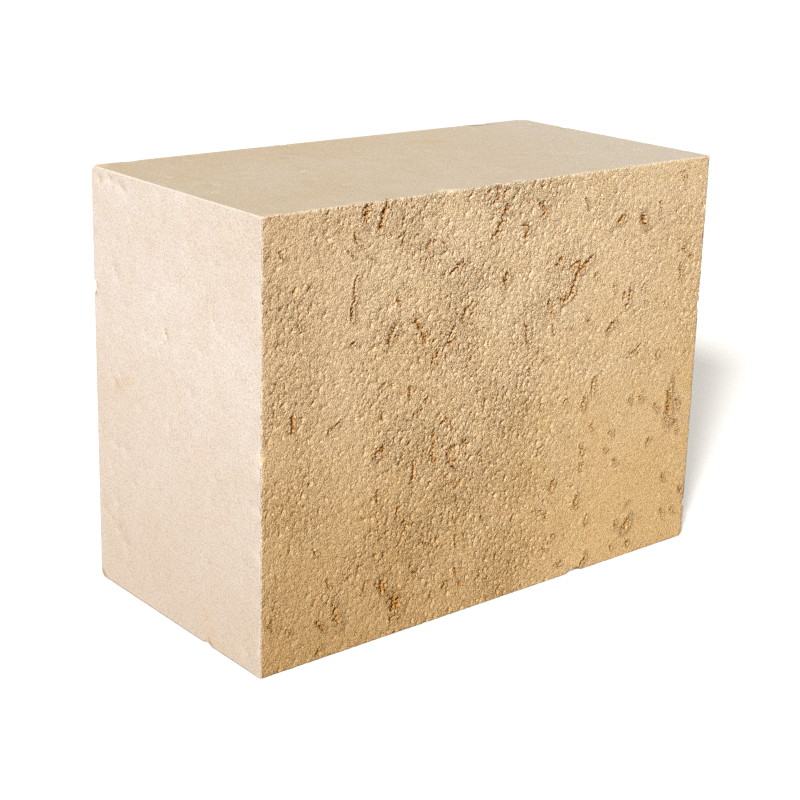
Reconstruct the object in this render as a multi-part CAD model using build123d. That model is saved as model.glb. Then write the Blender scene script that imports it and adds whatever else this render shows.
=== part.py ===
from build123d import *
import math
import os

# A sawn limestone block, in millimetres. The origin is the middle of the bottom bed, with
# X along the block's length, Y from the open-pored front face to the back, and Z up.

# Sawn size of the block
length = 400.0
depth = 200.0
height = 300.0

# Wear of the sawn edges: the front's edges crumble more than those the saw left on both sides
front_arris_radius = 1.1
back_arris_radius = 0.7

# The face on which the pores below were measured. They keep their own size and move with the face.
surveyed_length = 400.0
surveyed_height = 300.0

# How a pore narrows: the size of its mouth, middle and floor against its rim
mouth_share = 1.06
middle_share = 0.84
floor_share = 0.42
middle_depth_share = 0.5
mouth_stand_off = 0.6
# How far a pore's floor runs back under its upper left lip, as a share of its width
undercut_share = 0.16
# A pore at least this wide is a hollow that weather has rounded. A narrower one is a broken
# crack, whose rim has corners.
hollow_width = 5.0
hollow_rim_points = 8
crack_rim_points = 11
# How far the rim waves in and out of an ellipse
three_lobe_wave = 0.13
two_lobe_wave = 0.09

# How far the centre of a spall's bowl stands outside the edge, as a share of its bite
spall_stand_off = 0.25

front_y = -depth / 2
back_y = depth / 2
left_x = -length / 2
right_x = length / 2
block_middle = (0.0, 0.0, height / 2)

# Open pores of the front face: distance from the left edge and up from the bottom edge,
# length, width, depth, how far the long way leans from upright to the right in degrees,
# and where its rim waves, in degrees.
pores = [
    # Under the top edge
    (79.0, 293.5, 14.0, 5.0, 3.0, 8.0, 20.0),
    (92.5, 291.0, 18.0, 4.6, 3.2, 22.0, 75.0),
    (72.2, 276.5, 7.0, 2.6, 2.0, -12.0, 10.0),
    (189.6, 294.0, 9.0, 3.2, 2.2, -12.0, 130.0),
    (191.0, 274.0, 22.0, 3.6, 2.4, 26.0, 200.0),
    (216.8, 266.0, 8.0, 3.8, 2.6, -16.0, 250.0),
    (232.6, 277.5, 7.5, 3.4, 2.0, 48.0, 310.0),
    (309.0, 262.4, 9.5, 5.2, 1.8, 78.0, 40.0),
    (332.2, 260.2, 10.0, 5.4, 5.0, -18.0, 160.0),
    # Upper middle of the face
    (130.8, 265.8, 6.5, 2.8, 1.8, 58.0, 95.0),
    (157.0, 249.0, 12.0, 5.0, 2.4, 62.0, 15.0),
    (70.4, 232.0, 10.0, 2.8, 1.8, 10.0, 60.0),
    (71.4, 247.4, 12.0, 2.6, 1.8, 4.0, 110.0),
    (101.6, 212.0, 15.0, 5.0, 2.4, 30.0, 115.0),
    (70.0, 210.6, 3.6, 2.4, 3.0, 74.0, 180.0),
    (125.4, 210.4, 20.0, 4.4, 2.6, -34.0, 225.0),
    (164.8, 216.6, 10.0, 3.4, 2.0, 34.0, 280.0),
    (199.4, 233.4, 10.0, 5.2, 2.8, 10.0, 330.0),
    (247.6, 238.6, 6.0, 3.0, 2.2, 52.0, 35.0),
    (242.2, 211.6, 6.5, 2.8, 2.0, -8.0, 20.0),
    (246.0, 202.2, 4.6, 2.6, 1.6, 40.0, 65.0),
    (151.6, 202.0, 11.0, 4.4, 2.6, 24.0, 85.0),
    (140.4, 191.6, 10.0, 4.2, 2.4, 34.0, 140.0),
    # The forked pore right of the middle
    (273.6, 234.4, 13.0, 4.4, 2.6, 60.0, 205.0),
    (266.4, 227.0, 9.0, 4.4, 3.0, 30.0, 260.0),
    (261.6, 219.4, 9.0, 4.8, 3.2, 14.0, 315.0),
    (256.0, 212.6, 8.0, 3.6, 2.8, 72.0, 25.0),
    # Right of the face
    (221.2, 194.4, 11.0, 3.0, 2.2, -4.0, 70.0),
    (305.6, 184.8, 9.0, 3.2, 2.2, 58.0, 120.0),
    (323.0, 205.0, 11.0, 3.4, 2.0, -6.0, 165.0),
    (376.4, 216.0, 10.0, 3.0, 1.8, -4.0, 210.0),
    (332.6, 162.2, 9.0, 2.8, 1.8, 60.0, 255.0),
    (289.8, 143.0, 8.0, 3.2, 2.6, 14.0, 300.0),
    (281.4, 132.0, 7.0, 3.2, 2.4, -4.0, 345.0),
    (374.0, 113.0, 25.0, 5.0, 4.0, 2.0, 30.0),
    (374.8, 130.8, 7.0, 3.0, 2.2, -4.0, 15.0),
    (383.6, 110.6, 8.0, 2.8, 1.8, -30.0, 80.0),
    # Middle and lower left of the face
    (94.6, 134.4, 11.0, 6.6, 3.0, 50.0, 125.0),
    (122.2, 115.4, 10.0, 3.0, 2.2, -8.0, 170.0),
    (139.2, 129.6, 17.0, 3.8, 2.4, 4.0, 215.0),
    (154.8, 141.6, 12.0, 3.2, 2.0, -64.0, 265.0),
    (155.6, 117.4, 15.0, 5.4, 2.8, -34.0, 320.0),
    (167.6, 124.8, 9.0, 6.4, 2.2, 40.0, 5.0),
    (184.0, 110.6, 6.0, 2.6, 2.0, -14.0, 55.0),
    (239.6, 104.4, 6.0, 2.6, 2.0, 44.0, 105.0),
    (92.4, 103.0, 8.0, 3.2, 2.2, 6.0, 150.0),
    (117.4, 76.0, 9.0, 3.4, 2.2, -10.0, 195.0),
    (253.0, 74.4, 8.0, 3.2, 2.4, 20.0, 245.0),
    (278.6, 56.6, 7.0, 3.4, 2.2, 26.0, 295.0),
    (244.6, 53.8, 9.5, 2.4, 1.6, -46.0, 75.0),
    (291.4, 10.4, 9.0, 2.6, 1.8, 24.0, 155.0),
    (136.6, 58.6, 8.0, 3.0, 2.0, -40.0, 335.0),
    # The deepest hollow, a run of pores that break into each other
    (99.0, 37.0, 15.0, 5.4, 3.4, -24.0, 45.0),
    (109.0, 22.6, 15.0, 10.4, 5.2, -20.0, 90.0),
    (106.6, 10.8, 6.0, 3.0, 2.0, 30.0, 135.0),
    (59.8, 27.4, 15.0, 6.0, 2.6, -18.0, 185.0),
    (47.0, 22.8, 9.0, 3.4, 2.4, -36.0, 235.0),
    (334.6, 24.6, 11.0, 6.0, 2.2, 40.0, 285.0),
]

# Spalls along an edge: the edge's way, its middle, its length and its bite along the two
# other axes in X, Y, Z order. The first is the bite out of the front's bottom edge.
spalls = [
    (Axis.X, (right_x - 119.0, front_y, 0.0), 18.0, (5.0, 2.7)),
    (Axis.X, (left_x + 30.0, back_y, height), 13.0, (2.2, 1.8)),
    (Axis.X, (left_x + 158.0, back_y, height), 7.0, (1.6, 1.5)),
    (Axis.X, (right_x - 48.0, back_y, height), 20.0, (2.6, 2.2)),
    (Axis.X, (left_x + 147.0, front_y, height), 8.0, (2.0, 1.5)),
    (Axis.Z, (right_x, front_y, height - 113.0), 8.0, (2.2, 3.0)),
    (Axis.Z, (right_x, front_y, 28.0), 7.0, (2.6, 2.4)),
    (Axis.Z, (left_x, front_y, 148.0), 7.0, (1.8, 2.0)),
    (Axis.Z, (left_x, back_y, height - 84.0), 11.0, (2.0, 2.6)),
    (Axis.Z, (right_x, back_y, 66.0), 15.0, (3.0, 2.4)),
    (Axis.Y, (left_x, front_y + 62.0, 0.0), 10.0, (2.2, 1.8)),
    (Axis.Y, (right_x, back_y - 48.0, height), 12.0, (2.0, 1.8)),
]

# Knocked corners: the corner, and how far along X, Y and Z its flat break runs
knocked_corners = [
    ((right_x, back_y, height), (7.0, 5.0, 4.5)),
    ((left_x, back_y, height), (3.6, 4.2, 3.0)),
    ((right_x, front_y, 0.0), (3.0, 3.4, 4.0)),
    ((left_x, back_y, 0.0), (4.0, 3.0, 3.4)),
]


def sawn_block():
    # The six sawn faces, with their edges worn round
    block = Box(length, depth, height, align=(Align.CENTER, Align.CENTER, Align.MIN))
    front_edges = block.faces().sort_by(Axis.Y)[0].edges()
    block = fillet(front_edges, front_arris_radius)
    sharp_edges = block.edges().filter_by(GeomType.LINE).filter_by(
        lambda edge: edge.center().Y > front_y + front_arris_radius + 0.5 * back_arris_radius
    )
    return fillet(sharp_edges, back_arris_radius)


def pore_rim(long, wide, share, wave_turn):
    # One closed outline, an ellipse whose radius waves with two and three lobes
    turn = math.radians(wave_turn)
    is_hollow = wide >= hollow_width
    point_count = hollow_rim_points if is_hollow else crack_rim_points
    points = []
    for i in range(point_count):
        angle = 2 * math.pi * i / point_count
        wave = 1 + three_lobe_wave * math.sin(3 * angle + turn) + two_lobe_wave * math.cos(2 * angle - turn)
        across = 0.5 * wide * share * wave * math.cos(angle)
        along = 0.5 * long * share * wave * math.sin(angle)
        points.append((across, along))
    outline = Spline(*points, periodic=True) if is_hollow else Polyline(*points, close=True)
    return make_face(outline)


def pore(from_left, from_bottom, long, wide, deep, lean, wave_turn):
    # A pocket lofted from a mouth just outside the face, through a middle, to a small floor
    # that lies back under the upper left lip
    at_x = left_x + from_left * length / surveyed_length
    at_z = from_bottom * height / surveyed_height
    undercut = undercut_share * wide
    stations = [
        (-mouth_stand_off, mouth_share, 0.0),
        (middle_depth_share * deep, middle_share, 0.4 * undercut),
        (deep, floor_share, undercut),
    ]
    sections = []
    for inward, share, shift in stations:
        origin = (at_x - shift, front_y + inward, at_z + shift)
        face_plane = Plane(origin=origin, x_dir=(1, 0, 0), z_dir=(0, -1, 0))
        sections.append(face_plane * Rot(0, 0, -lean) * pore_rim(long, wide, share, wave_turn))
    return loft(sections, ruled=True)


def spall(edge_way, middle, long, bites):
    # A shell-shaped flake lost from an edge: part of an ellipsoid centred a little outside it
    outward = [math.copysign(1.0, at - mid) for at, mid in zip(middle, block_middle)]
    across = [i for i, component in enumerate(edge_way.direction) if abs(component) < 0.5]
    half_sizes = [0.5 * long] * 3
    centre = list(middle)
    for i, bite in zip(across, bites):
        half_sizes[i] = (1 + spall_stand_off) * bite
        centre[i] += outward[i] * spall_stand_off * bite
    return Pos(*centre) * scale(Sphere(1.0), by=tuple(half_sizes))


def corner_break(block, corner, runs):
    # A flat break through three points, one on each edge of the corner
    outward = [math.copysign(1.0, at - mid) for at, mid in zip(corner, block_middle)]
    normal = Vector(*(way / run for way, run in zip(outward, runs))).normalized()
    on_edge = Vector(*corner) - Vector(outward[0] * runs[0], 0.0, 0.0)
    return split(block, bisect_by=Plane(origin=on_edge, z_dir=normal), keep=Keep.BOTTOM)


def limestone_block():
    block = sawn_block()
    for corner, runs in knocked_corners:
        block = corner_break(block, corner, runs)
    for edge_way, middle, long, bites in spalls:
        block -= spall(edge_way, middle, long, bites)
    for one_pore in pores:
        block -= pore(*one_pore)
    return block


block = limestone_block()
print("solids", len(block.solids()), "volume in litres", round(block.volume / 1e6, 3))
os.makedirs("parts", exist_ok=True)
export_step(block, "parts/limestone_block.step")
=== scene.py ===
import math

import bpy
import numpy as np
from mathutils import Matrix, Vector


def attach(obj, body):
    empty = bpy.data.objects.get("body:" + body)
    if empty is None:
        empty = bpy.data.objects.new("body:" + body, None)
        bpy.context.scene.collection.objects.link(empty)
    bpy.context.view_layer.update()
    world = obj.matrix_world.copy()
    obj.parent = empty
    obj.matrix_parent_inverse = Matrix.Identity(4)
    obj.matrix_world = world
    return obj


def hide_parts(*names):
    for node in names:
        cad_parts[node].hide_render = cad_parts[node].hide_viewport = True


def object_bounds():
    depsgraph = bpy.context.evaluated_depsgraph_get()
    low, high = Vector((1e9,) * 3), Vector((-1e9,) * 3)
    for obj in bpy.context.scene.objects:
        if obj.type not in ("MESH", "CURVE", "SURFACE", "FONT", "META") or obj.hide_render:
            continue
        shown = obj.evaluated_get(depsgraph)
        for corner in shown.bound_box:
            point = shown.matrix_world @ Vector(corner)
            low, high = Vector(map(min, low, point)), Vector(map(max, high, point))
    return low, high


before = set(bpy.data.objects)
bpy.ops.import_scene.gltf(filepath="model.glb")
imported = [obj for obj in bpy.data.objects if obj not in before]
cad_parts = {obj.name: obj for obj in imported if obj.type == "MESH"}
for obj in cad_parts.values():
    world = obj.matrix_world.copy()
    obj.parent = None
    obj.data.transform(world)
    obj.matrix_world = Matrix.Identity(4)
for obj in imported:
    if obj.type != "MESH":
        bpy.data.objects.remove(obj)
cadLow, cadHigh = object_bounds()
print("stage: frame loaded", tuple(cadLow), tuple(cadHigh))

# Camera

camera = {
    "place": (-0.7547, -0.8928, 0.5063),   # metres
    "turn": 39.89,      # degrees from +Y towards +X
    "down": 16.011,     # degrees below level
    "roll": 1.498,      # degrees
    "lens": 75.47,      # mm
    "shiftUp": -0.08,   # share of the picture
    "clip": (0.01, 50.0),   # metres
}


def makeCamera():
    # The way ahead is (sin turn cos down, cos turn cos down, -sin down), and right and up roll about it
    turn, down, roll = (math.radians(camera[k]) for k in ("turn", "down", "roll"))
    ahead = Vector((math.sin(turn) * math.cos(down), math.cos(turn) * math.cos(down), -math.sin(down)))
    right = ahead.cross(Vector((0, 0, 1))).normalized()
    up = right.cross(ahead)
    rightRolled = math.cos(roll) * right + math.sin(roll) * up
    upRolled = math.cos(roll) * up - math.sin(roll) * right
    data = bpy.data.cameras.new("camera")
    data.lens = camera["lens"]
    data.shift_y = camera["shiftUp"]
    data.clip_start, data.clip_end = camera["clip"]
    eye = bpy.data.objects.new("camera", data)
    bpy.context.scene.collection.objects.link(eye)
    eye.matrix_world = Matrix((
        (rightRolled.x, upRolled.x, -ahead.x, camera["place"][0]),
        (rightRolled.y, upRolled.y, -ahead.y, camera["place"][1]),
        (rightRolled.z, upRolled.z, -ahead.z, camera["place"][2]),
        (0, 0, 0, 1),
    ))
    bpy.context.scene.camera = eye


makeCamera()
print("stage: camera")

# Noise on flat grids of points, all in millimetres


def smoothStep(low, high, value):
    # 3t^2 - 2t^3 of the share t of the way from low to high
    t = np.clip((value - low) / (high - low), 0, 1)
    return t * t * (3 - 2 * t)


def swell(u, v, cell, seed):
    # Gradient noise, about -1 to 1: each corner of a square lattice has a random slope, and a point
    # blends the four slopes times its offsets from those corners by 6t^5 - 15t^4 + 10t^3
    angle = np.random.default_rng(seed).random((256, 256)) * 2 * math.pi
    slopeU, slopeV = np.cos(angle), np.sin(angle)
    a, b = u / cell, v / cell
    ia, ib = np.floor(a).astype(int), np.floor(b).astype(int)
    fa, fb = a - ia, b - ib

    def corner(da, db):
        at = (ia + da) & 255, (ib + db) & 255
        return slopeU[at] * (fa - da) + slopeV[at] * (fb - db)

    wa = fa * fa * fa * (fa * (6 * fa - 15) + 10)
    wb = fb * fb * fb * (fb * (6 * fb - 15) + 10)
    low = corner(0, 0) * (1 - wa) + corner(1, 0) * wa
    high = corner(0, 1) * (1 - wa) + corner(1, 1) * wa
    return 1.5 * (low * (1 - wb) + high * wb)


def scatteredPits(u, v, cell, share, radii, depths, stretch, seed):
    # Steep pits, one at a random place in a share of the cells of a square lattice. The depth at a point
    # is the greatest over the nine nearest cells of pit depth times (1 - (distance / radius)^2)^0.6
    rng = np.random.default_rng(seed)
    placeU, placeV = rng.random((256, 256)), rng.random((256, 256))
    radius = radii[0] + (radii[1] - radii[0]) * rng.random((256, 256)) ** 2
    depth = depths[0] + (depths[1] - depths[0]) * rng.random((256, 256))
    depth = np.where(rng.random((256, 256)) < share, depth, 0)
    lean = rng.normal(0.35, 0.5, (256, 256))
    a, b = u / cell, v / cell
    ia, ib = np.floor(a).astype(int), np.floor(b).astype(int)
    deepest = np.zeros_like(u)
    for da in (-1, 0, 1):
        for db in (-1, 0, 1):
            at = (ia + da) & 255, (ib + db) & 255
            du = (a - ia - da - placeU[at]) * cell
            dv = (b - ib - db - placeV[at]) * cell
            across = du * np.cos(lean[at]) - dv * np.sin(lean[at])
            along = (du * np.sin(lean[at]) + dv * np.cos(lean[at])) / stretch
            away = (across * across + along * along) / radius[at] ** 2
            deepest = np.maximum(deepest, depth[at] * np.clip(1 - away, 0, 1) ** 0.6)
    return deepest


# The block's pored front, in millimetres from its left edge and up from its bottom edge.
# A hollow is place, length, width, depth and lean to the right of upright in degrees.

hollows = [
    (79.0, 293.5, 14.0, 5.0, 3.0, 8.0), (332.2, 260.2, 10.0, 5.4, 5.0, -18.0),
    (309.0, 262.4, 9.5, 5.2, 1.8, 78.0), (157.0, 249.0, 12.0, 5.0, 2.4, 62.0),
    (101.6, 212.0, 15.0, 5.0, 2.4, 30.0), (70.0, 210.6, 3.6, 2.4, 3.0, 74.0),
    (199.4, 233.4, 10.0, 5.2, 2.8, 10.0), (374.0, 113.0, 25.0, 5.0, 4.0, 2.0),
    (94.6, 134.4, 11.0, 6.6, 3.0, 50.0), (167.6, 124.8, 9.0, 6.4, 2.2, 40.0),
    (99.0, 37.0, 15.0, 5.4, 3.4, -24.0), (109.0, 22.6, 15.0, 10.4, 5.2, -20.0),
    (106.6, 10.8, 6.0, 3.0, 2.0, 30.0), (59.8, 27.4, 15.0, 6.0, 2.6, -18.0),
    (334.6, 24.6, 11.0, 6.0, 2.2, 40.0),
]

# A crack is its points, width and depth
cracks = [
    (((96.5, 300), (93, 291), (89.5, 282)), 4.2, 3.0),
    (((70, 281), (73, 273)), 2.6, 2.0),
    (((110.5, 276), (108.5, 271)), 2.0, 1.4),
    (((133, 268), (129, 264.5)), 2.4, 1.8),
    (((188.5, 299), (190.6, 290)), 3.0, 2.2),
    (((198.5, 285), (194, 275), (190.5, 269), (186, 264)), 3.0, 2.4),
    (((214.5, 270), (218.4, 266), (216.5, 261)), 3.4, 2.6),
    (((228.6, 283), (234.6, 278), (231.5, 275)), 2.8, 2.0),
    (((281, 238.5), (275, 233.5), (269, 229.5), (266, 222), (263.5, 216)), 3.8, 3.0),
    (((269, 238), (270.5, 231)), 3.0, 2.4),
    (((263.5, 216), (258, 211.5), (253.5, 212)), 3.6, 3.0),
    (((268, 237), (260, 233)), 2.6, 1.8),
    (((73, 254), (70.5, 247), (71.5, 240), (69, 234), (69.6, 226)), 2.6, 1.8),
    (((120, 220), (124.5, 214), (127.5, 208), (130, 201)), 3.8, 2.6),
    (((172, 223), (165.5, 219), (163, 214), (163.6, 210)), 2.6, 2.0),
    (((154.5, 208), (152, 203), (149.5, 200), (151.5, 196.5)), 3.6, 2.6),
    (((142, 196), (140.5, 191), (137, 186.5)), 3.4, 2.4),
    (((252, 241.5), (246.6, 237)), 2.8, 2.2),
    (((221, 199), (221.6, 190), (225, 183.5)), 2.8, 2.2),
    (((302, 182), (305, 185.5), (309.5, 187.5)), 3.2, 2.4),
    (((324.5, 213), (323, 205), (324, 200), (320.5, 197)), 2.6, 1.8),
    (((376, 221), (377.6, 216), (376, 210.5)), 2.4, 1.6),
    (((328, 160), (333, 161.5), (336.5, 165)), 2.4, 1.8),
    (((290.5, 148), (289.5, 139)), 3.0, 2.6),
    (((282, 135), (281, 129)), 3.0, 2.4),
    (((383, 116), (384.5, 109)), 2.4, 1.8),
    (((122, 121), (123.5, 113), (121, 105.5)), 2.6, 2.0),
    (((140.4, 139), (139.6, 130), (137.6, 122.5), (143, 116)), 3.0, 2.2),
    (((147, 142.6), (151, 144.6), (155.4, 142), (157, 136)), 2.6, 1.8),
    (((156, 123.5), (152, 119.5), (157, 112.5), (158.5, 109.5)), 3.8, 2.6),
    (((183.5, 113), (184.5, 107.5)), 2.4, 2.0),
    (((242, 107), (238, 102.5)), 2.4, 2.0),
    (((92, 106), (92.6, 100)), 3.0, 2.2),
    (((116, 80), (118.5, 73)), 3.0, 2.2),
    (((254.5, 77.5), (252.5, 71)), 3.0, 2.4),
    (((280.5, 59.5), (277.5, 55.5), (278.8, 53)), 2.8, 2.2),
    (((133, 61), (139, 56)), 2.4, 1.8),
    (((44, 27), (49.5, 20.5)), 3.0, 2.2),
    (((273, 281), (275.5, 274.5)), 2.4, 1.6),
    (((242.4, 214), (241.5, 209)), 2.8, 2.0),
    (((244.5, 203.5), (247, 201)), 2.6, 1.8),
    (((110, 91), (109.5, 82)), 2.2, 1.6),
    (((280.6, 99), (282.4, 93)), 2.2, 1.6),
    (((36.5, 252.5), (34.5, 250)), 2.2, 1.4),
    (((349.6, 270), (349, 259)), 1.8, 1.4),
    (((98, 180), (92.5, 175.5)), 2.2, 1.6),
    (((119.4, 173), (116.5, 167)), 2.4, 1.8),
    (((135, 163.5), (131.5, 160)), 2.6, 1.8),
    (((128.5, 155), (121.5, 152.5)), 2.2, 1.6),
    (((23.5, 172), (24.5, 166), (22.5, 161.5)), 2.6, 1.8),
    (((60.5, 161), (56, 158), (51, 155)), 2.2, 1.4),
    (((338.5, 211), (336, 207)), 2.4, 1.6),
    (((246, 194), (247, 190.5)), 2.0, 1.4),
    (((279.5, 194), (282, 191.5)), 2.0, 1.4),
    (((265, 188.5), (260, 191)), 1.8, 1.2),
    (((228.5, 170), (225.5, 166.5)), 2.4, 1.8),
    (((235, 180), (233.5, 176)), 1.8, 1.2),
    (((242.5, 172.5), (239.5, 170)), 2.2, 1.6),
    (((105, 235), (108.5, 230.5)), 2.4, 1.6),
    (((110.5, 243), (112.5, 239.5)), 1.8, 1.2),
    (((176, 259.5), (179, 255.5)), 2.2, 1.6),
    (((146.5, 262.5), (143.5, 265.5)), 2.0, 1.4),
    (((27.5, 229), (30, 224.5)), 1.6, 1.2),
    (((14, 275.5), (15.5, 272.5)), 2.0, 1.4),
    (((286, 226), (287.5, 223.5)), 2.2, 1.6),
    (((358.5, 157), (356.5, 153)), 2.6, 1.8),
    (((383, 97.5), (384.5, 89.5)), 2.2, 1.6),
    (((282, 84), (281, 80.5)), 1.8, 1.4),
    (((212.6, 128.5), (210.5, 125)), 2.2, 1.8),
    (((206.8, 124), (204, 121)), 2.4, 1.8),
    (((239, 138), (237, 134)), 2.0, 1.6),
    (((263, 138), (261.5, 134.5)), 2.2, 1.6),
    (((162, 58.5), (163, 52)), 2.2, 1.6),
    (((172.5, 60), (170.5, 55)), 2.2, 1.6),
    (((186, 67), (188.5, 63)), 2.6, 1.8),
    (((184.5, 74), (186, 70.5)), 2.2, 1.6),
    (((161.5, 87), (163.5, 82.5)), 2.4, 1.6),
    (((170, 101), (165, 97), (161, 94)), 2.2, 1.4),
    (((199.5, 97), (194, 93)), 2.2, 1.6),
    (((216, 60), (215, 56)), 2.4, 1.8),
    (((236, 58), (244, 57), (249, 50)), 2.0, 1.4),
    (((42, 76), (43.5, 74)), 2.2, 1.8),
    (((51.5, 54), (54.5, 48.5)), 2.2, 1.4),
    (((8.5, 39.5), (7, 35), (9.5, 31)), 2.2, 1.6),
    (((84, 44.5), (81, 36)), 2.2, 1.4),
    (((92, 40.5), (97, 34)), 2.4, 1.6),
    (((163, 34), (164.5, 30.5)), 2.6, 2.0),
    (((155, 26), (152, 22.5)), 2.4, 1.8),
    (((126.5, 39.5), (128, 37.5)), 2.2, 2.0),
    (((167.5, 22.5), (169.5, 19.5)), 2.2, 1.6),
    (((142, 21.5), (141, 18.5)), 2.2, 1.6),
    (((21, 27.5), (23.5, 25)), 2.4, 1.8),
    (((47, 9), (44.5, 4.5)), 2.0, 1.4),
    (((291, 42), (290.5, 37)), 2.0, 1.6),
    (((257, 35), (254, 31.5)), 2.4, 1.8),
    (((248, 26), (252, 24.5)), 2.0, 1.6),
    (((212, 28), (215.5, 23)), 2.0, 1.6),
    (((294, 12), (291.5, 7), (287, 3)), 2.2, 1.8),
    (((260, 9.5), (266, 10.5)), 2.0, 1.4),
    (((322.5, 30), (324, 25)), 2.4, 1.6),
    (((337, 10), (338.5, 7.5)), 2.6, 1.8),
    (((319, 11.5), (320.5, 8.5)), 2.2, 1.6),
    (((352.5, 86), (354, 89.5)), 2.2, 1.6),
    (((306, 91.5), (308, 89.5)), 2.2, 1.6),
    (((317, 80.5), (318.5, 77.5)), 2.2, 1.6),
    (((330, 124.5), (331, 122.5)), 2.2, 1.6),
    (((341.5, 125), (343.5, 122.5)), 2.2, 1.6),
    (((358, 115.5), (361.5, 111)), 2.2, 1.4),
    (((290, 112.5), (291, 110)), 2.0, 1.4),
    (((311.5, 104), (313.5, 101)), 2.0, 1.4),
    (((372, 57), (375.5, 51.5)), 2.0, 1.4),
    (((384.5, 26), (386, 23.5)), 2.4, 1.6),
    (((373, 28), (376, 21.5)), 2.2, 1.4),
    (((393.5, 41), (396, 38.5)), 2.8, 2.0),
    (((379, 236), (377.5, 232.5), (380.5, 231.5)), 2.4, 1.6),
    (((386, 228.5), (387.5, 225)), 2.2, 1.4),
    (((372, 290), (373.5, 286.5)), 2.6, 1.6),
    (((305.5, 216), (307, 210)), 2.0, 1.4),
    (((318, 207.5), (316.5, 205)), 2.4, 1.8),
    (((333, 40), (337, 43.5)), 1.8, 1.2),
    (((65, 271), (70, 266)), 1.8, 1.2),
    (((85.5, 262.5), (79, 267)), 1.8, 1.2),
    (((340, 198.5), (341, 196)), 1.8, 1.2),
    (((363, 194.5), (361.5, 191)), 2.0, 1.4),
]

# Small pits of the sawn faces, in the same six values. On the top the place is from the left and from the
# front, and on the left end it is from the front and up
topPits = [
    (10.0, 127.0, 5.0, 3.0, 1.2, 50.0), (18.0, 134.0, 4.0, 2.6, 1.0, -20.0),
    (30.0, 97.0, 4.0, 2.4, 1.0, 30.0), (106.0, 104.0, 5.0, 2.8, 1.3, 70.0),
    (96.0, 77.0, 3.4, 2.2, 0.9, 0.0), (50.0, 73.0, 3.6, 2.4, 1.0, 40.0),
    (68.0, 119.0, 4.0, 2.2, 0.9, -50.0), (62.0, 102.0, 3.0, 2.0, 0.8, 10.0),
    (100.0, 52.0, 3.4, 2.2, 0.9, 60.0), (158.0, 192.0, 7.0, 3.0, 1.4, 80.0),
    (232.0, 118.0, 3.4, 2.2, 0.8, 20.0), (301.0, 64.0, 3.0, 2.0, 0.8, -30.0),
]
leftPits = [
    (109.0, 203.0, 6.5, 2.8, 2.2, 6.0), (112.0, 196.0, 3.0, 2.0, 1.0, 20.0),
    (173.0, 233.0, 4.0, 2.2, 1.0, 0.0), (182.0, 182.0, 3.4, 2.4, 0.9, 20.0),
    (148.0, 167.0, 3.2, 2.2, 0.8, -30.0), (143.0, 145.0, 3.0, 2.2, 0.9, 10.0),
    (164.0, 108.0, 4.0, 2.2, 0.9, 0.0), (29.0, 213.0, 3.0, 2.2, 0.9, 30.0),
    (75.0, 148.0, 3.0, 2.0, 0.8, 0.0), (53.0, 225.0, 5.0, 3.0, 0.9, 40.0),
    (48.0, 217.0, 3.0, 2.2, 0.8, -20.0), (78.0, 168.0, 2.8, 1.8, 0.9, 0.0),
    (53.0, 263.0, 3.4, 1.8, 0.8, 20.0), (71.0, 246.0, 2.6, 1.8, 0.8, 0.0),
    (63.0, 245.0, 2.6, 1.8, 0.8, 10.0), (112.0, 276.0, 3.0, 1.8, 0.8, -10.0),
    (80.0, 270.0, 2.6, 1.8, 0.7, 0.0), (175.0, 64.0, 6.0, 3.4, 0.8, 70.0),
    (176.0, 294.0, 9.0, 4.0, 1.2, 80.0), (162.0, 291.0, 7.0, 3.0, 1.0, 60.0),
    (190.0, 291.0, 6.0, 4.0, 1.2, 0.0), (2.0, 140.0, 5.0, 3.0, 1.2, 0.0),
    (3.0, 115.0, 4.0, 2.4, 1.0, 0.0), (2.0, 85.0, 4.0, 2.6, 1.0, 0.0),
]

# Spalls off an edge: middle, half sizes of the bowl, in millimetres from the bottom bed's middle
spalls = [
    ((81.0, -101.25, -0.675), (9.0, 6.25, 3.375)),
    ((-170.0, 100.55, 300.45), (6.5, 2.75, 2.25)),
    ((152.0, 100.65, 300.55), (10.0, 3.25, 2.75)),
    ((-42.0, 100.4, 300.375), (3.5, 2.0, 1.875)),
    ((-53.0, -100.5, 300.375), (4.0, 2.5, 1.875)),
    ((200.55, -100.75, 187.0), (2.75, 3.75, 4.0)),
    ((200.65, -100.6, 28.0), (3.25, 3.0, 3.5)),
    ((-200.45, -100.5, 148.0), (2.25, 2.5, 3.5)),
    ((-200.5, 100.65, 216.0), (2.5, 3.25, 5.5)),
    ((200.75, 100.6, 66.0), (3.75, 3.0, 7.5)),
    ((-200.55, -38.0, -0.45), (2.75, 5.0, 2.25)),
    ((200.5, 52.0, 300.45), (2.5, 6.0, 2.25)),
]

# Flat breaks across a corner: the corner and how far the break runs along X, Y and Z
knockedCorners = [
    ((200, 100, 300), (7.0, 5.0, 4.5)),
    ((-200, 100, 300), (3.6, 4.2, 3.0)),
    ((200, -100, 0), (3.0, 3.4, 4.0)),
    ((-200, 100, 0), (4.0, 3.0, 3.4)),
]

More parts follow.
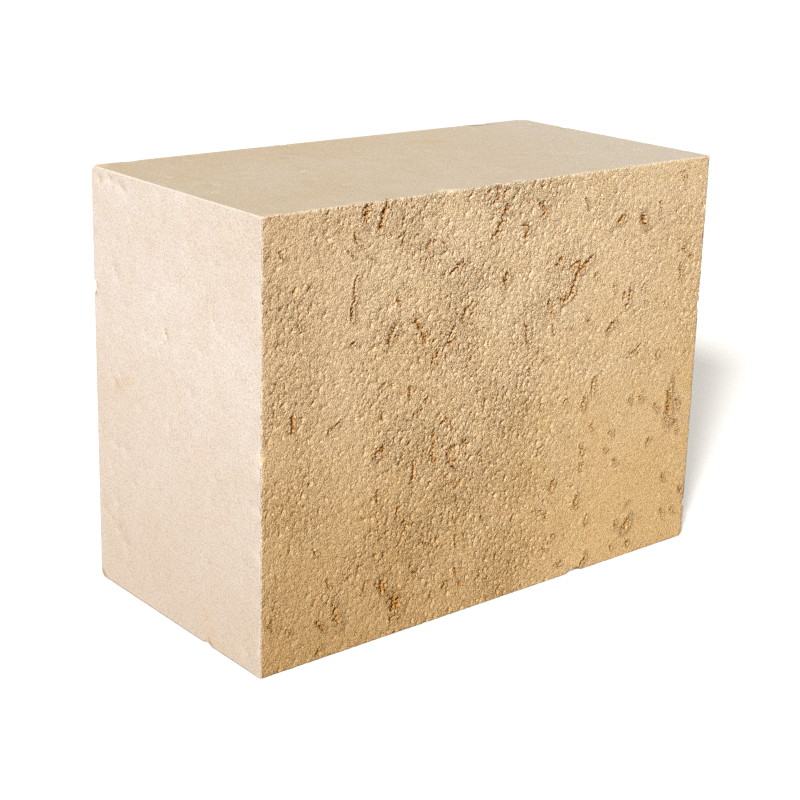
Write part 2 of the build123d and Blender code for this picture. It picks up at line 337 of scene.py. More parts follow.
# Lengths in millimetres
block = {
    "name": "limestoneBlockStone",
    "cellsLong": 800,            # front grid, along X
    "cellsHigh": 600,            # front grid, along Z
    "triangles": 196000,         # kept after thinning
    "gritCell": 1.6,             # grit all over the front
    "gritDepth": 0.055,
    "crumbCell": 1.8,            # crumbs round the front's pores
    "crumbDepth": 0.34,
    "waveDepth": 0.2,            # long waves of the front
    "rippleDepth": 0.06,         # short waves of the front
    "openMiddle": (165, 115),    # a patch of the front where the stone is more open
    "openSpread": (75, 60),
    "leastWeathered": 0.26,      # where the front isn't crumbly, as a share of fully weathered
    "crumblyWeathered": 0.52,    # added to that where it is
    "pressReach": 12,            # how far behind the front its relief presses back the sides
    "sawnPitCell": 13.0,         # a sawn face has up to one random pit in each cell of this size
    "sawnPitDepth": 0.5,         # share of a pit's listed depth that is cut
    "sawnPitTone": 0.5,          # share of it that colours the stone, orange, and with painted shade where deep
    "sawnFade": 2.0,             # the relief of a sawn face fades out this near to its edges
    "frontArris": 1.0,           # mean worn radius
    "sawnArris": 0.4,
    "arrisReach": 5,             # only points this near to an edge are worn
    "chipRough": 0.16,           # roughness of broken stone
    "seed": 41,
}
size = np.array([(high - low) * 1000 for low, high in zip(cadLow, cadHigh)])   # mm
long, deep, high = size


def hollowShare(u, v, hollow):
    # 1 - rho, where rho is the distance, in half widths and half lengths, over a rim radius of
    # 1 + 0.12 sin(3a) + 0.1 cos(2a), which waves with three and with two lobes
    atU, atV, length, width, _, lean = hollow
    turn = math.radians(lean)
    du, dv = u - atU, v - atV
    across = (du * math.cos(turn) - dv * math.sin(turn)) / (0.5 * width)
    along = (du * math.sin(turn) + dv * math.cos(turn)) / (0.5 * length)
    angle = np.arctan2(along, across)
    rim = 1 + 0.12 * np.sin(3 * angle + atU) + 0.1 * np.cos(2 * angle - atV)
    return 1 - np.hypot(across, along) / rim


def crackShare(u, v, crack):
    # 1 - distance from the nearest stretch of the line, over half the crack's width and 0.2 more
    points, width = crack[:2]
    nearest = np.full_like(u, 1e9)
    for (u0, v0), (u1, v1) in zip(points[:-1], points[1:]):
        runU, runV = u1 - u0, v1 - v0
        share = np.clip(((u - u0) * runU + (v - v0) * runV) / (runU * runU + runV * runV), 0, 1)
        nearest = np.minimum(nearest, np.hypot(u - u0 - share * runU, v - v0 - share * runV))
    return 1 - nearest / (0.5 * width + 0.2)


def windowOf(u, v, least, most, margin):
    # Rows and columns of the grid that lie within a margin of a box
    cols = np.flatnonzero((u[0] > least[0] - margin) & (u[0] < most[0] + margin))
    rows = np.flatnonzero((v[:, 0] > least[1] - margin) & (v[:, 0] < most[1] + margin))
    return slice(rows[0], rows[-1] + 1), slice(cols[0], cols[-1] + 1)


def placedPores(u, v, warpU, warpV):
    # The listed pores, and how crumbly the stone is near them. A pore is a band about its line or
    # place, broken by noise into ragged pockets of its own depth
    seed = block["seed"]
    ragged = 0.85 * swell(u, v, 1.7, seed + 15) + 0.5 * swell(u, v, 3.7, seed + 16)
    pockets = 0.25 + 0.75 * smoothStep(-0.2, 0.25, swell(u, 0.8 * v, 2.1, seed + 17))
    pore = np.zeros_like(u)
    crumbly = np.zeros_like(u)

    # Each one's box, its reach beyond that, its depth and the function that gives its share
    bands = [(k[:2], k[:2], 0.8 * k[2], k[4], hollowShare, k) for k in hollows]
    bands += [(np.min(k[0], 0), np.max(k[0], 0), k[1], k[2], crackShare, k) for k in cracks]
    for least, most, reach, depth, shareOf, shape in bands:
        at = windowOf(u, v, least, most, reach + 8)
        share = shareOf(warpU[at], warpV[at], shape)
        body = smoothStep(0.2, 0.4, share + ragged[at])
        pore[at] = np.maximum(pore[at], depth * body * pockets[at])
        near = smoothStep(-1.8, 0.3, share) * min(1.0, 0.25 * (depth + 1))
        crumbly[at] = np.maximum(crumbly[at], near)
    return pore, crumbly


def openShare(u, v):
    # How open the stone is, up to 1: in patches, more so round one place, and less at both sides
    seed = block["seed"]
    patch = smoothStep(-0.25, 0.55, swell(u, v, 46, seed + 5) + 0.35 * swell(u, v, 17, seed + 6))
    smoother = smoothStep(210, 300, u) * (0.5 + 0.35 * smoothStep(200, 80, v))
    (middleU, middleV), (spreadU, spreadV) = block["openMiddle"], block["openSpread"]
    middle = np.exp(-((u - middleU) / spreadU) ** 2 - ((v - middleV) / spreadV) ** 2)
    openness = np.minimum((0.5 + 0.5 * patch) * (1 - smoother) + 0.3 * middle, 1)
    return openness * (0.65 + 0.35 * smoothStep(60, 130, u))


def frontRelief(u, v):
    # Depth into the stone over the front, the open pore in it, and how crumbly it is. The depth is the
    # waves and the grit, the deeper of placed pores and fine pits, and a quarter of the shallower
    seed = block["seed"]
    ragU, ragV = swell(u, v, 2.4, seed + 1), swell(u, v, 2.4, seed + 3)
    warpU = u + 0.5 * ragU + 1.0 * swell(u, v, 7.0, seed + 2)
    warpV = v + 0.5 * ragV + 1.0 * swell(u, v, 7.0, seed + 4)
    pore, crumbly = placedPores(u, v, warpU, warpV)
    openness = openShare(u, v)
    crumbly = np.maximum(crumbly, 0.5 * openness)

    # Fine pits in two sizes, and short veins where noise crosses zero
    tinyPits = scatteredPits(warpU, warpV, 3.1, 0.55, (0.6, 1.1), (0.5, 1.4), 1.3, seed + 7)
    smallPits = scatteredPits(warpU, warpV, 6.0, 0.6, (0.8, 1.5), (0.9, 2.2), 1.6, seed + 8)
    vein = np.abs(swell(warpU, 0.8 * warpV, 6.5, seed + 9))
    veinPatch = smoothStep(0.1, 0.5, swell(u, v, 21, seed + 10))
    veins = 0.35 * smoothStep(0.10, 0.0, vein + 0.1 * ragU) * veinPatch
    fine = np.maximum(np.maximum(tinyPits, smallPits), veins) * openness

    grit = 0.08 * swell(u, v, 4.6, seed + 11) + swell(u, v, block["gritCell"], seed + 12)
    grit *= block["gritDepth"] * (0.4 + 1.1 * crumbly)
    grit += block["crumbDepth"] * crumbly ** 2 * swell(u, v, block["crumbCell"], seed + 18)
    wave = block["waveDepth"] * swell(u, v, 60, seed + 13)
    wave += block["rippleDepth"] * swell(u, v, 15, seed + 14)
    relief = wave + grit + np.maximum(pore, fine) + 0.25 * np.minimum(pore, fine)
    relief -= np.percentile(relief, 0.5)
    return np.maximum(relief, 0), np.maximum(pore, 0.45 * fine), crumbly


def sawnRelief(u, v, seed, pitShare, placed):
    # Depth into a sawn face, and its pits by themselves. The depth is 0.1 more than its faint waves, and
    # half the depth of its pits, a few at random and the rest listed
    ragged = 0.6 * swell(u, v, 2.6, seed + 3)
    pitCell = block["sawnPitCell"]
    pits = scatteredPits(u + ragged, v + ragged, pitCell, pitShare, (0.7, 1.7), (0.3, 1.0), 1.3, seed)
    for pit in placed:
        share = hollowShare(u + ragged, v - ragged, pit) + ragged
        pits = np.maximum(pits, pit[4] * smoothStep(0.0, 0.6, share))
    wave = 0.05 * swell(u, v, 40, seed + 1) + 0.035 * swell(u, v, 6, seed + 2)
    return 0.1 + wave + block["sawnPitDepth"] * pits, pits


def ringPoints(cellsLong, cellsHigh):
    # Points round the block's outline seen from the front, anticlockwise from the bottom left
    left, right = np.zeros(cellsHigh), np.full(cellsHigh, long)
    bottom, top = np.zeros(cellsLong), np.full(cellsLong, high)
    alongX = np.arange(cellsLong) / cellsLong * long
    alongZ = np.arange(cellsHigh) / cellsHigh * high
    x = np.concatenate([alongX, right, long - alongX, left])
    z = np.concatenate([bottom, alongZ, top, high - alongZ])
    return x, z


def capIndex(cellsLong, cellsHigh, ringStart, innerStart):
    # Vertex numbers of a grid whose border is a ring of points
    index = np.zeros((cellsHigh + 1, cellsLong + 1), int)
    ring = ringStart + np.arange(2 * (cellsLong + cellsHigh))
    index[0, :cellsLong] = ring[:cellsLong]
    index[:cellsHigh, cellsLong] = ring[cellsLong:cellsLong + cellsHigh]
    index[cellsHigh, cellsLong:0:-1] = ring[cellsLong + cellsHigh:2 * cellsLong + cellsHigh]
    index[cellsHigh:0:-1, 0] = ring[2 * cellsLong + cellsHigh:]
    inner = np.arange((cellsHigh - 1) * (cellsLong - 1)).reshape(cellsHigh - 1, cellsLong - 1)
    index[1:-1, 1:-1] = innerStart + inner
    return index


def twoTriangles(a, b, c, d):
    # Splits each four-cornered cell a b c d, every other one along its other diagonal
    a, b, c, d = (k.ravel() for k in (a, b, c, d))
    odd = (np.arange(len(a)) % 2).astype(bool)
    first = np.where(odd[:, None], np.stack([a, b, c], 1), np.stack([a, b, d], 1))
    second = np.where(odd[:, None], np.stack([a, c, d], 1), np.stack([b, c, d], 1))
    return np.concatenate([first, second])


def gridPlaces(cellsLong, cellsHigh):
    # Places of a grid's points over the whole front or back
    placesLong = np.arange(cellsLong + 1) / cellsLong * long
    placesHigh = np.arange(cellsHigh + 1) / cellsHigh * high
    return np.meshgrid(placesLong, placesHigh)


def blockGrid():
    # A closed box of rings from the front edge to the back edge, with a grid over each end.
    # The rings and the back grid have half as many points as the front grid
    fineLong, fineHigh = block["cellsLong"], block["cellsHigh"]
    halfLong, halfHigh = fineLong // 2, fineHigh // 2
    step = 2 * long / fineLong
    near = np.cumsum(step * np.linspace(0.55, 1.0, 7))
    middleCount = int((deep - 2 * near[-1]) / (1.2 * step))
    middle = np.linspace(near[-1], deep - near[-1], middleCount + 1)[1:-1]
    stations = np.concatenate([near, middle, deep - near[::-1], [deep]])
    fineX, fineZ = ringPoints(fineLong, fineHigh)
    halfX, halfZ = ringPoints(halfLong, halfHigh)
    points = [np.stack([fineX, np.zeros_like(fineX), fineZ], 1)]
    for y in stations:
        points.append(np.stack([halfX, np.full_like(halfX, y), halfZ], 1))
    fineCount, halfCount = len(fineX), len(halfX)
    innerFront = fineCount + halfCount * len(stations)
    frontU, frontV = gridPlaces(fineLong, fineHigh)
    backU, backV = gridPlaces(halfLong, halfHigh)
    inner = frontU[1:-1, 1:-1].ravel(), frontV[1:-1, 1:-1].ravel()
    points.append(np.stack([inner[0], np.zeros_like(inner[0]), inner[1]], 1))
    innerBack = innerFront + len(inner[0])
    inner = backU[1:-1, 1:-1].ravel(), backV[1:-1, 1:-1].ravel()
    points.append(np.stack([inner[0], np.full_like(inner[0], deep), inner[1]], 1))
    front = capIndex(fineLong, fineHigh, 0, innerFront)
    back = capIndex(halfLong, halfHigh, fineCount + halfCount * (len(stations) - 1), innerBack)

    triangles = [twoTriangles(front[:-1, :-1], front[:-1, 1:], front[1:, 1:], front[1:, :-1])]
    triangles.append(twoTriangles(back[:-1, :-1], back[1:, :-1], back[1:, 1:], back[:-1, 1:]))
    coarse = np.arange(halfCount)
    near0, near1 = fineCount + coarse, fineCount + (coarse + 1) % halfCount
    fine0, fine1, fine2 = 2 * coarse, 2 * coarse + 1, (2 * coarse + 2) % fineCount
    triangles.append(np.stack([fine0, near0, fine1], 1))
    triangles.append(np.stack([fine1, near0, near1], 1))
    triangles.append(np.stack([fine1, near1, fine2], 1))
    ringStart = fineCount + halfCount * np.arange(len(stations) - 1)[:, None]
    here, beside = ringStart + coarse, ringStart + (coarse + 1) % halfCount
    triangles.append(twoTriangles(here, here + halfCount, beside + halfCount, beside))
    return np.concatenate(points), np.concatenate(triangles), front, (frontU, frontV)


def roundEdge(a, b, radius):
    # A point within a radius of both faces of an edge slides onto a quarter round. With s = a - b and
    # angle 45 (1 - |s| / radius), it lies at radius (1 - sin, 1 - cos), moved in by its own depth
    s = a - b
    near = np.abs(s) < radius
    near &= np.minimum(a, b) < radius
    angle = math.pi / 4 * (1 - np.abs(s) / radius)
    depth = np.minimum(a, b)
    far = radius * (1 - np.sin(angle)) + depth * np.sin(angle)
    close = radius * (1 - np.cos(angle)) + depth * np.cos(angle)
    return np.where(near, np.where(s > 0, far, close), a), np.where(near, np.where(s > 0, close, far), b)


def arrisRadius(place, mean, seed):
    # Worn radius along an edge: a mean that wanders, with small nibbles out of it
    across = np.full_like(place, 7.3)
    wander = 0.35 * swell(place, across, 9, seed) + 0.3 * swell(place, across, 2.6, seed + 1)
    bitten = 0.4 + 0.6 * smoothStep(-0.2, 0.5, swell(place, across, 30, seed + 3))
    nibble = smoothStep(0.25, 0.8, swell(place, across, 4.2, seed + 2)) * bitten
    return np.maximum(mean * (1 + wander) + 1.3 * mean * nibble, 0.25)


def roundEdges(p):
    # Rounds the twelve edges in place, those of the front by a greater radius
    seed = block["seed"] + 100
    reach = block["arrisReach"]
    for along, acrossA, acrossB in ((2, 0, 1), (0, 1, 2), (1, 0, 2)):
        for farA in (0, 1):
            for farB in (0, 1):
                a = size[acrossA] - p[:, acrossA] if farA else p[:, acrossA].copy()
                b = size[acrossB] - p[:, acrossB] if farB else p[:, acrossB].copy()
                near = np.flatnonzero((a < reach) & (b < reach))
                isFront = (acrossA == 1 and not farA) or (acrossB == 1 and not farB)
                mean = block["frontArris"] if isFront else block["sawnArris"]
                seed += 10
                radius = arrisRadius(p[near, along], mean, seed)
                a[near], b[near] = roundEdge(a[near], b[near], radius)
                p[near, acrossA] = size[acrossA] - a[near] if farA else a[near]
                p[near, acrossB] = size[acrossB] - b[near] if farB else b[near]


def breakEdges(p):
    # Scoops the spalls and cuts the knocked corners. The second result is 1 on broken stone
    middle = np.array([long / 2, deep / 2, 0])
    rough = block["chipRough"] * swell(p[:, 0] + p[:, 1], p[:, 2] - p[:, 1], 3.0, block["seed"] + 90)
    broken = np.zeros(len(p))
    for centre, halfSizes in spalls:
        away = (p - middle - np.array(centre)) / np.array(halfSizes)
        reach = np.linalg.norm(away, axis=1)
        grown = 1 + rough
        inside = reach < grown
        scale = np.where(inside, grown / np.maximum(reach, 0.05), 1)
        p = p + (away * (scale - 1)[:, None]) * np.array(halfSizes)
        broken = np.maximum(broken, smoothStep(1.15, 0.95, reach))
    for corner, runs in knockedCorners:
        outward = np.sign(np.array(corner) - np.array([0, 0, high / 2]))
        normal = outward / np.array(runs)
        normal /= np.linalg.norm(normal)
        start = np.array(corner) - np.array([outward[0] * runs[0], 0, 0])
        beyond = (p - middle - start) @ normal + 1.2 * rough
        p = p - np.maximum(beyond, 0)[:, None] * normal
        broken = np.maximum(broken, smoothStep(-0.4, 0.0, beyond))
    return p, broken


def wornBlock():
    # Points and triangles of the block with all its relief, and the values that the material reads
    p, triangles, front, (frontU, frontV) = blockGrid()
    relief, pore, crumbly = frontRelief(frontU, frontV)
    x, y, z = p[:, 0].copy(), p[:, 1].copy(), p[:, 2].copy()
    openPore = np.zeros(len(p))
    weathered = np.zeros(len(p))
    openPore[front.ravel()] = pore.ravel()
    weathered[front.ravel()] = block["leastWeathered"] + block["crumblyWeathered"] * crumbly.ravel()

    # The front's relief also presses back the first rings behind its edge
    fineLong, fineHigh = block["cellsLong"], block["cellsHigh"]
    reach = block["pressReach"]
    column = np.clip(np.rint(x / long * fineLong).astype(int), 0, fineLong)
    row = np.clip(np.rint(z / high * fineHigh).astype(int), 0, fineHigh)
    inFront = y == 0
    pressed = relief[row, column] * np.clip(1 - y / reach, 0, 1) ** 2
    onRing = (x == 0) | (x == long) | (z == 0) | (z == high)
    p[:, 1] += np.where(inFront | (onRing & (y < reach)), pressed, 0)

    # Each sawn face sinks by its own relief, fading out at its edges. A face is its axis, the way in
    # along it, its points, their two places, the share of cells with a random pit, and its placed pits
    seed = block["seed"] + 50
    bed = np.zeros(len(p))
    faces = (
        (0, 1, x == 0, y, z, 0.30, leftPits),
        (0, -1, x == long, y, z, 0.34, []),
        (1, -1, y == deep, x, z, 0.38, []),
        (2, 1, z == 0, x, y, 0.30, []),
        (2, -1, z == high, x, y, 0.26, topPits),
    )
    for axis, inward, onFace, u, v, pitShare, placed in faces:
        seed += 5
        spanU, spanV = (size[k] for k in range(3) if k != axis)
        sunk, pits = sawnRelief(u[onFace], v[onFace], seed, pitShare, placed)
        edgeU = np.minimum(u[onFace], spanU - u[onFace])
        edgeV = np.minimum(v[onFace], spanV - v[onFace])
        edge = np.minimum(edgeU, edgeV)
        fade = smoothStep(0.0, block["sawnFade"], edge)
        p[onFace, axis] += inward * sunk * fade
        openPore[onFace] = np.maximum(openPore[onFace], block["sawnPitTone"] * pits * fade)
        if axis == 2:
            bed[onFace] = smoothStep(0.3, 1.2, edge)
    roundEdges(p)
    p, broken = breakEdges(p)
    p -= np.array([long / 2, deep / 2, 0])
    print("stage: block worked out,", len(p), "points,", len(triangles), "triangles")
    return p, triangles, {"hollow": openPore, "weathered": weathered, "broken": broken, "bed": bed}


def meshOf(p, triangles, values):
    # A mesh in metres, with one attribute for each list of values
    mesh = bpy.data.meshes.new(block["name"])
    mesh.vertices.add(len(p))
    mesh.vertices.foreach_set("co", (p * 0.001).astype(np.float32).ravel())
    mesh.loops.add(triangles.size)
    mesh.loops.foreach_set("vertex_index", triangles.astype(np.int32).ravel())
    mesh.polygons.add(len(triangles))
    mesh.polygons.foreach_set("loop_start", np.arange(0, triangles.size, 3, dtype=np.int32))
    for name, value in values.items():
        attribute = mesh.attributes.new(name, "FLOAT", "POINT")
        attribute.data.foreach_set("value", value.astype(np.float32))
    mesh.update(calc_edges=True)
    return mesh


def makeBlock():
    p, triangles, values = wornBlock()
    mesh = meshOf(p, triangles, values)
    piece = bpy.data.objects.new(block["name"], mesh)
    bpy.context.scene.collection.objects.link(piece)

    # Thinned where it is flat, then kept within the CAD box
    reducer = piece.modifiers.new("thin", "DECIMATE")
    reducer.ratio = block["triangles"] / len(triangles)
    depsgraph = bpy.context.evaluated_depsgraph_get()
    thinned = bpy.data.meshes.new_from_object(piece.evaluated_get(depsgraph), depsgraph=depsgraph)
    piece.modifiers.clear()
    piece.data = thinned
    bpy.data.meshes.remove(mesh)
    thinned.name = block["name"]
    kept = np.empty(3 * len(thinned.vertices), np.float32)
    thinned.vertices.foreach_get("co", kept)
    kept = np.clip(kept.reshape(-1, 3), np.array(cadLow), np.array(cadHigh))
    thinned.vertices.foreach_set("co", kept.ravel())
    thinned.polygons.foreach_set("use_smooth", np.ones(len(thinned.polygons), bool))
    print("stage: block thinned to", len(thinned.polygons), "triangles")
    return piece


stone = makeBlock()
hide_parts("limestone_block")
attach(stone, "root")

# Materials


class Value:
    # Wraps a shader socket, so that sums and products of sockets and numbers add Math nodes
    def __init__(self, tree, socket):
        self.tree, self.socket = tree, socket

    def math(self, operation, other, swapped=False):
        node = self.tree.nodes.new("ShaderNodeMath")
        node.operation = operation
        values = (other, self) if swapped else (self, other)
        for slot, value in zip(node.inputs, values):
            if isinstance(value, Value):
                self.tree.links.new(value.socket, slot)
            else:
                slot.default_value = value
        return Value(self.tree, node.outputs[0])

    def __add__(self, other):
        return self.math("ADD", other)

    def __sub__(self, other):
        return self.math("SUBTRACT", other)

    def __rsub__(self, other):
        return self.math("SUBTRACT", other, swapped=True)

    def __mul__(self, other):
        return self.math("MULTIPLY", other)

    def atMost(self, other):
        return self.math("MINIMUM", other)


class Shader:
    # The node tree of a material or of the world
    def __init__(self, owner):
        owner.use_nodes = True
        self.tree = owner.node_tree
        self.tree.nodes.clear()

    def node(self, kind, settings=None, output=0, **sockets):
        # Makes a node, sets it up, then fills its sockets with values or links. A socket is named with
        # underscores for blanks, or is i and its number
        made = self.tree.nodes.new("ShaderNode" + kind)
        for key, value in (settings or {}).items():
            setattr(made, key, value)
        for key, value in sockets.items():
            numbered = key[0] == "i" and key[1:].isdigit()
            slot = made.inputs[int(key[1:]) if numbered else key.replace("_", " ")]
            if isinstance(value, Value):
                self.tree.links.new(value.socket, slot)
            else:
                slot.default_value = value
        return Value(self.tree, made.outputs[output])

    def stretch(self, value, start, end):
        # The share of the way from start to end, kept within 0 and 1
        return self.node("MapRange", {"clamp": True}, i0=value, i1=start, i2=end)

    def blend(self, share, first, second):
        # Mixes two colours
        return self.node("Mix", {"data_type": "RGBA"}, 2, i0=share, i6=first, i7=second)

    def noise(self, where, scale, detail=2.0, rough=0.5):
        return self.node("TexNoise", None, 0, Vector=where, Scale=scale, Detail=detail, Roughness=rough)


finish = {
    "endPale": (0.61, 0.56, 0.525, 1),         # sawn stone, freshest
    "endTan": (0.575, 0.51, 0.445, 1),
    # painted shade, towards the bottom and the back of the ends, and on the back
    "endShade": (0.475, 0.405, 0.33, 1),
    "bedGrey": (0.52, 0.468, 0.38, 1),
    "bedWarm": (0.50, 0.43, 0.322, 1),
    "bedPale": (0.525, 0.49, 0.44, 1),
    "frontCrest": (0.80, 0.635, 0.415, 1),     # tops of the grains on the rough front
    "frontOchre": (0.733, 0.535, 0.285, 1),
    # painted light, towards the top of the front
    "topLightCream": (0.86, 0.71, 0.51, 1),
    # ochre tone, also painted shade towards the bottom of the front
    "lowOchre": (0.67, 0.44, 0.19, 1),
    # painted shade, in the bottom left corner of the front
    "cornerShadeBrown": (0.44, 0.27, 0.10, 1),
    # painted shade, towards the left of the front
    "leftShade": (0.58, 0.40, 0.23, 1),
    "darkSpeckAndCreviceShade": (0.27, 0.11, 0.012, 1),         # dark specks and grain tone, and painted shade in the crevices of the grains, partly dirt
    "arrisCream": (0.76, 0.67, 0.55, 1),
    "hollowOrange": (0.58, 0.25, 0.028, 1),
    # painted shade in the deepest parts of the pores
    "poreShade": (0.22, 0.07, 0.006, 1),
    "stain": (0.55, 0.34, 0.13, 1),
    "roughness": 0.9,
    "shine": 0.2,              # Specular IOR Level
    "cloudScale": 9.0,         # scales of noise, in waves a metre
    "stainScale": 24.0,
    "mottleScale": 45.0,
    "spotScale": 120.0,
    "crumbScale": 640.0,
    "speckScale": 760.0,
    "cellScale": 880.0,
    "toneScale": 1050.0,
    "grainScale": 1100.0,
    "dustScale": 1500.0,
    "roughGrit": 0.0027,       # metres of bump, on the roughest stone and on sawn stone
    "sawnGrit": 0.00022,
    "roughDust": 0.0009,
    "sawnDust": 0.00003,
    "roughCrumbs": 0.0012,
}


def makeLimestone():
    material = bpy.data.materials.new("limestone")
    s = Shader(material)
    where = s.node("TexCoord", None, 3)
    along, across, height = (s.node("SeparateXYZ", None, k, i0=where) for k in range(3))
    hollow = s.node("Attribute", {"attribute_name": "hollow"}, 2)
    weathered = s.node("Attribute", {"attribute_name": "weathered"}, 2)
    broken = s.node("Attribute", {"attribute_name": "broken"}, 2)
    onBed = s.node("Attribute", {"attribute_name": "bed"}, 2)

    # Masks of heights, ends and arrises, and of the front
    low = s.stretch(height, 0.20, 0.0)
    high = s.stretch(height, 0.12, 0.27)
    cornerShadeMask = s.stretch(height, 0.15, -0.02) * s.stretch(along, 0.08, -0.16)
    nearTop = s.stretch(height, 0.2984, 0.2994)
    nearEnd = s.stretch(s.node("Math", {"operation": "ABSOLUTE"}, 0, i0=along), 0.1989, 0.1996)
    onArris = (nearTop + nearEnd * 0.4).atMost(1.0) * s.stretch(across, -0.0975, -0.0988)
    isFront = s.stretch(weathered, 0.07, 0.22) * (1 - nearEnd)
    rough = weathered.atMost(0.55)
    towardsRight = s.stretch(along, 0.0, 0.17)
    leftShadeMask = s.stretch(along, -0.05, -0.19)
    towardsBack = s.stretch(across, -0.03, 0.10)

    clouds = s.noise(where, finish["cloudScale"], 3.0, 0.55)
    stainPlace = s.noise(where, finish["stainScale"], 2.0, 0.5)
    mottle = s.noise(where, finish["mottleScale"], 3.0, 0.6)
    ochreSpots = s.noise(where, finish["spotScale"], 2.0, 0.6)
    crumbs = s.noise(where, finish["crumbScale"], 1.0, 0.5)
    fineSpecks = s.noise(where, finish["speckScale"], 1.0, 0.5)
    grain = s.noise(where, finish["grainScale"], 2.0, 0.65)
    dust = s.noise(where, finish["dustScale"], 1.0, 0.5)
    cells = s.node("TexVoronoi", {"feature": "F1"}, 0, Vector=where, Scale=finish["cellScale"])
    cellColour = s.node("TexVoronoi", {"feature": "F1"}, 1, Vector=where, Scale=finish["toneScale"])
    grainTone = cellColour * 1.0   # turns the random colour of a cell into one number

    # Rounded grains: tops where the cell distance is small, crevices where it is large
    grit = (0.60 - cells) * 0.8 + grain * 0.9
    creviceShade = s.stretch(grit, 0.62, 0.27)

    # Sawn stone: the ends and the back, with painted shade towards their bottom and their back, then the
    # beds, then stains and specks on all of them and painted shade in the crevices of the grains
    endMix = s.stretch(clouds * 0.6 + mottle * 0.4, 0.42, 0.62)
    endColour = s.blend(endMix, finish["endPale"], finish["endTan"])
    # Painted shade: darker towards the bottom and towards the back
    endShadeShare = low * (0.85 - towardsBack * 0.35) + towardsBack * 0.2
    endColour = s.blend(endShadeShare, endColour, finish["endShade"])
    bedMix = s.stretch(clouds * 0.5 + mottle * 0.5 + towardsBack * 0.12, 0.44, 0.64)
    bedColour = s.blend(bedMix, finish["bedGrey"], finish["bedWarm"])
    bedColour = s.blend(towardsRight * 0.7, bedColour, finish["bedPale"])
    sawn = s.blend(onBed, endColour, bedColour)
    sawn = s.blend(s.stretch(stainPlace, 0.66, 0.78) * 0.3, sawn, finish["stain"])
    sawn = s.blend(s.stretch(ochreSpots, 0.66, 0.74) * 0.3, sawn, finish["stain"])
    sawn = s.blend(s.stretch(fineSpecks, 0.61, 0.69) * (0.36 - onBed * 0.16), sawn, finish["darkSpeckAndCreviceShade"])
    sawn = s.blend(s.stretch(grainTone, 0.55, 0.25) * 0.1, sawn, finish["darkSpeckAndCreviceShade"])
    # Painted shade in the crevices of the grains, partly dirt
    sawn = s.blend(creviceShade * 0.17, sawn, finish["darkSpeckAndCreviceShade"])

    # The rough front: its tones by place, with painted light towards the top and painted shade towards
    # the left, the bottom and the bottom left corner, then painted shade in the crevices of its grains,
    # partly dirt
    frontMix = s.stretch(clouds * 0.5 + mottle * 0.5, 0.36, 0.66)
    front = s.blend(frontMix, finish["frontCrest"], finish["frontOchre"])
    # Painted light: paler towards the top
    front = s.blend(high * 0.5, front, finish["topLightCream"])
    # Painted shade: darker towards the left
    front = s.blend(leftShadeMask * 0.45, front, finish["leftShade"])
    # Darker and more ochre towards the bottom: partly the stone's ochre tone, partly painted shade
    front = s.blend(low * 0.55, front, finish["lowOchre"])
    # Painted shade: darker in the bottom left corner
    front = s.blend(cornerShadeMask * 0.65, front, finish["cornerShadeBrown"])
    front = s.blend(towardsRight * 0.2, front, finish["lowOchre"])
    # Darker where the bump is low: painted shade in the crevices of the grains, partly dirt
    front = s.blend(s.stretch(grainTone, 0.5, 0.2) * rough * 0.6, front, finish["darkSpeckAndCreviceShade"])
    front = s.blend(s.stretch(crumbs, 0.42, 0.30) * rough * 1.2, front, finish["darkSpeckAndCreviceShade"])
    front = s.blend(creviceShade * rough * 1.15, front, finish["darkSpeckAndCreviceShade"])

    # All together: broken stone, the insides of pores with painted shade in their deepest parts, and the
    # pale front arrises
    colour = s.blend(isFront, sawn, front)
    colour = s.blend(broken * 0.5, colour, finish["frontOchre"])
    ragged = hollow + (0.5 - crumbs) * 1.5
    colour = s.blend(s.stretch(ragged, 0.3, 1.1) * 0.75, colour, finish["hollowOrange"])
    # Painted shade in the deepest parts of the pores, broken up by noise into crumbs
    poreShadeShare = s.stretch(hollow * 0.4 + (0.44 - crumbs) * 4.0, 0.3, 0.9) * s.stretch(hollow, 0.2, 0.7)
    colour = s.blend(poreShadeShare * 0.8, colour, finish["poreShade"])
    colour = s.blend(onArris * s.stretch(grain, 0.40, 0.56) * 0.8, colour, finish["arrisCream"])

    # Fine grain that is under the mesh's own spacing, in metres
    heightMap = grit * (rough * rough * finish["roughGrit"] + finish["sawnGrit"])
    heightMap = heightMap + (grainTone + dust) * (rough * finish["roughDust"] + finish["sawnDust"])
    heightMap = heightMap + crumbs * (rough * rough * finish["roughCrumbs"])
    bump = s.node("Bump", None, 0, Strength=1.0, Distance=1.0, Height=heightMap)
    surface = s.node(
        "BsdfPrincipled", None, 0, Base_Color=colour, Roughness=finish["roughness"],
        Specular_IOR_Level=finish["shine"], Normal=bump,
    )
    out = s.tree.nodes.new("ShaderNodeOutputMaterial")
    s.tree.links.new(surface.socket, out.inputs[0])
    return material


stone.data.materials.clear()
stone.data.materials.append(makeLimestone())
print("stage: stone finished")

# Floor and light

stage = {
    "floorHalf": 12.0,         # metres
    "floorColour": (0.50, 0.50, 0.50, 1),
    "floorRoughness": 0.9,
    "floorGlow": 0.43,         # brightness of its own, so that it is white outside the shadow
    "backdropUp": 0.93,        # brightness of the white walls round the floor
    "skyColour": (1.0, 0.77, 0.44, 1),
    "skyStrength": 0.22,
    "keyTurn": 55.0,           # degrees from -Y towards -X
    "keyUp": 30.0,
    "keyStrength": 6.4,        # watts a square metre
    "keySoftness": 7.0,        # degrees
    "fillTurn": 228.0,         # degrees, the middle of the sky's brighter side
    "fillUp": 8.0,
    "fillEdge": 0.42,          # cosine of the angle from its middle at which it ends
    "fillStrength": 1.1,
    "fillColour": (1.0, 0.93, 0.82, 1),
}


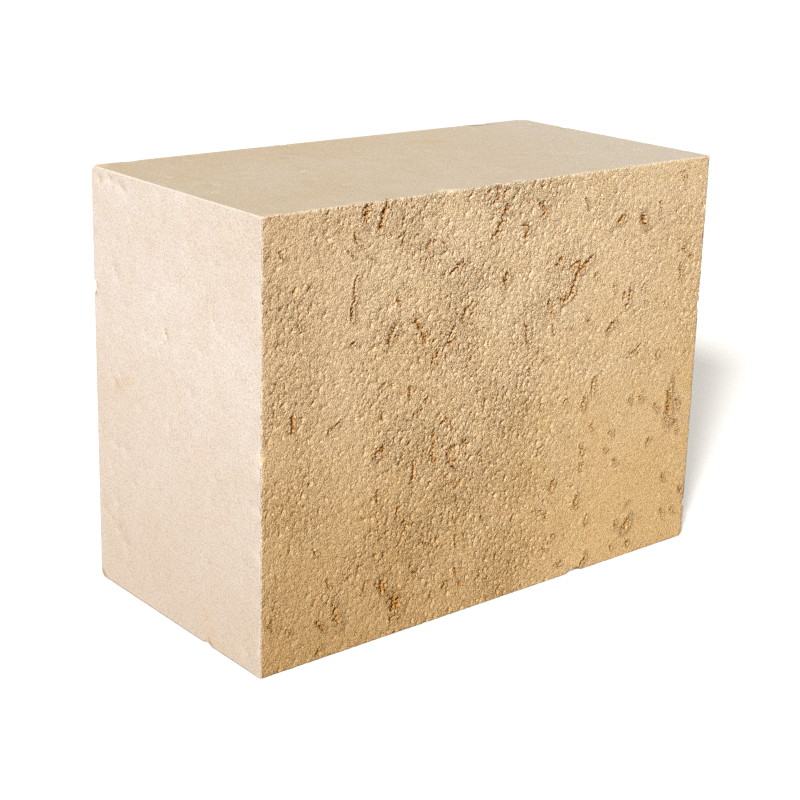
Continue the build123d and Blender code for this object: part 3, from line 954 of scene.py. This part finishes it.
def makeStagePiece(name, corners, quads, colour, glow):
    # A plain white surface that throws no light back on the stone, so its pores keep their shadows
    mesh = bpy.data.meshes.new(name)
    mesh.from_pydata(corners, [], quads)
    piece = bpy.data.objects.new(name, mesh)
    bpy.context.scene.collection.objects.link(piece)
    material = bpy.data.materials.new(name + "White")
    s = Shader(material)
    surface = s.node(
        "BsdfPrincipled", None, 0, Base_Color=colour, Roughness=stage["floorRoughness"],
        Emission_Color=(1, 1, 1, 1), Emission_Strength=glow,
    )
    out = s.tree.nodes.new("ShaderNodeOutputMaterial")
    s.tree.links.new(surface.socket, out.inputs[0])
    mesh.materials.append(material)
    piece.visible_diffuse = False
    piece.visible_glossy = False
    return piece


def makeFloor():
    half = stage["floorHalf"]
    ring = [(-half, -half), (half, -half), (half, half), (-half, half)]
    low = [(x, y, 0) for x, y in ring]
    tall = [(x, y, half) for x, y in ring]
    makeStagePiece("floor", low, [(0, 1, 2, 3)], stage["floorColour"], stage["floorGlow"])
    sides = [(k, (k + 1) % 4, (k + 1) % 4 + 4, k + 4) for k in range(4)]
    backdrop = makeStagePiece("backdrop", low + tall, sides, (0, 0, 0, 1), stage["backdropUp"])
    backdrop.visible_shadow = False


def wayTo(turn, up):
    # (-sin turn cos up, -cos turn cos up, sin up)
    turn, up = math.radians(turn), math.radians(up)
    return Vector((-math.sin(turn) * math.cos(up), -math.cos(turn) * math.cos(up), math.sin(up)))


def makeKey():
    data = bpy.data.lights.new("key", "SUN")
    data.energy = stage["keyStrength"]
    data.angle = math.radians(stage["keySoftness"])
    key = bpy.data.objects.new("key", data)
    bpy.context.scene.collection.objects.link(key)
    key.rotation_mode = "QUATERNION"
    key.rotation_quaternion = wayTo(stage["keyTurn"], stage["keyUp"]).to_track_quat("Z", "Y")


def makeSky():
    # A dim warm sky with a brighter side, which falls off with the cosine of the angle from its middle
    world = bpy.data.worlds.new("studio")
    world.cycles.sampling_method = "NONE"   # so smooth a sky is less noisy without it
    bpy.context.scene.world = world
    s = Shader(world)
    way = s.node("TexCoord", None, 0)
    middle = tuple(wayTo(stage["fillTurn"], stage["fillUp"]))
    cosine = s.node("VectorMath", {"operation": "DOT_PRODUCT"}, 1, i0=way, i1=middle)
    sky = s.node("Background", None, 0, Color=stage["skyColour"], Strength=stage["skyStrength"])
    share = s.stretch(cosine, stage["fillEdge"], 1.0)
    strength = share * stage["fillStrength"]
    fill = s.node("Background", None, 0, Color=stage["fillColour"], Strength=strength)
    both = s.node("AddShader", None, 0, i0=sky, i1=fill)
    out = s.tree.nodes.new("ShaderNodeOutputWorld")
    s.tree.links.new(both.socket, out.inputs[0])


makeFloor()
makeKey()
makeSky()
bpy.context.scene.view_settings.view_transform = "Standard"
bpy.context.scene.view_settings.look = "None"
bpy.context.scene.cycles.use_denoising = False   # it would wipe out the finest grain
print("stage: floor and light")
